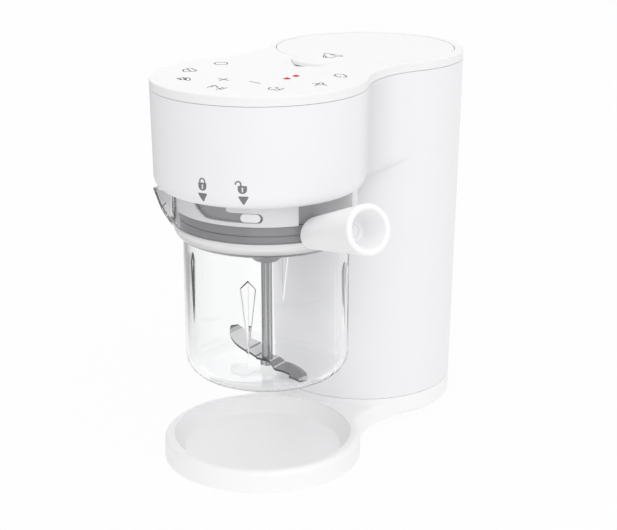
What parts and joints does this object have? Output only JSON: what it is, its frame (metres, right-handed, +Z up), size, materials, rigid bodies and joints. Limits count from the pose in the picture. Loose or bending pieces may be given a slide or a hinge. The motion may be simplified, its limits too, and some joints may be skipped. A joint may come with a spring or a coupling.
{
  "type": "baby food steamer blender",
  "caption": "Upright steamer blender: a round water column and motor head over a tray, with a clear hanging jar, side handle, S-shaped blade and lift-off tank lid.",
  "frame": {"origin": "on the ground, under the axis of the head and of the round tray", "axes": "+Z up, -Y towards the front of the tray, +X to the right where the jar's handle points"},
  "size_m": [0.1796, 0.2594, 0.25],
  "materials": {
    "white_plastic": "satin moulded",
    "grey_plastic": "fine matt moulded",
    "dark_rubber": "matt",
    "clear_plastic": "clear polished",
    "tank_plastic": "frosted",
    "steel": "brushed",
    "screw_steel": "zinc plated",
    "motor_steel": "zinc plated",
    "ferrite": "matt",
    "copper": "enamelled",
    "brass": "turned",
    "black_plastic": "matt moulded",
    "circuit_board": "coated",
    "red_light": "clear tinted",
    "silicone_hose": "translucent",
    "boiler_aluminium": "cast",
    "mineral_board": "fibrous"
  },
  "bodies": {
    "housing": {"base_shell": "white_plastic", "foot_rings": "dark_rubber", "base_screws": "screw_steel", "chassis": "black_plastic", "chassis_screws": "screw_steel", "body_shell": "white_plastic", "top_panel": "white_plastic", "control_board": "circuit_board", "board_screws": "screw_steel", "touch_springs": "brass", "light_pipes": "red_light", "water_tank": "tank_plastic", "feed_hose": "silicone_hose", "water_pump": "black_plastic", "pump_mount": "dark_rubber", "delivery_hose": "silicone_hose", "steam_boiler": "boiler_aluminium", "boiler_mount": "mineral_board", "thermal_cutout": "black_plastic", "steam_hose": "silicone_hose", "steam_nozzle": "steel", "motor_can": "motor_steel", "motor_magnets": "ferrite", "motor_mount": "motor_steel", "motor_dampers": "dark_rubber", "motor_screws": "screw_steel", "bayonet_socket": "grey_plastic", "socket_screws": "screw_steel", "socket_seal": "dark_rubber", "lock_lugs": "white_plastic", "reed_switch": "black_plastic", "power_board": "circuit_board", "cord_gland": "white_plastic"},
    "jar_assembly": {"jar": "clear_plastic", "lock_tracks": "white_plastic", "handle": "white_plastic", "handle_screw": "screw_steel", "jar_lid": "grey_plastic", "lid_gasket": "dark_rubber", "shaft_bush": "brass", "interlock_magnet": "motor_steel"},
    "motor_rotor": {"armature": "copper", "drive_coupling": "black_plastic"},
    "blade_rotor": {"driven_coupling": "black_plastic", "blade_shaft": "steel", "blade": "steel", "blade_nut": "steel"},
    "tank_cover": {"tank_lid": "white_plastic", "lid_seal": "dark_rubber"}
  },
  "joints": [
    {"name": "jar_turn", "type": "hinge", "parent": "housing", "child": "jar_assembly", "pos_m": [0, 0.006, 0], "axis": [0, 0, 1], "range_deg": [0, 22]},
    {"name": "motor_spin", "type": "hinge", "parent": "housing", "child": "motor_rotor", "pos_m": [0, 0.006, 0], "axis": [0, 0, 1], "continuous": true},
    {"name": "blade_spin", "type": "hinge", "parent": "housing", "child": "blade_rotor", "pos_m": [0, 0.006, 0], "axis": [0, 0, 1], "continuous": true},
    {"name": "tank_lid_lift", "type": "slide", "parent": "housing", "child": "tank_cover", "axis": [0, 0, 1], "range_m": [0, 0.04]}
  ],
  "couplings": [
    {"joint": "blade_spin", "follows": "motor_spin", "ratio": 1}
  ]
}
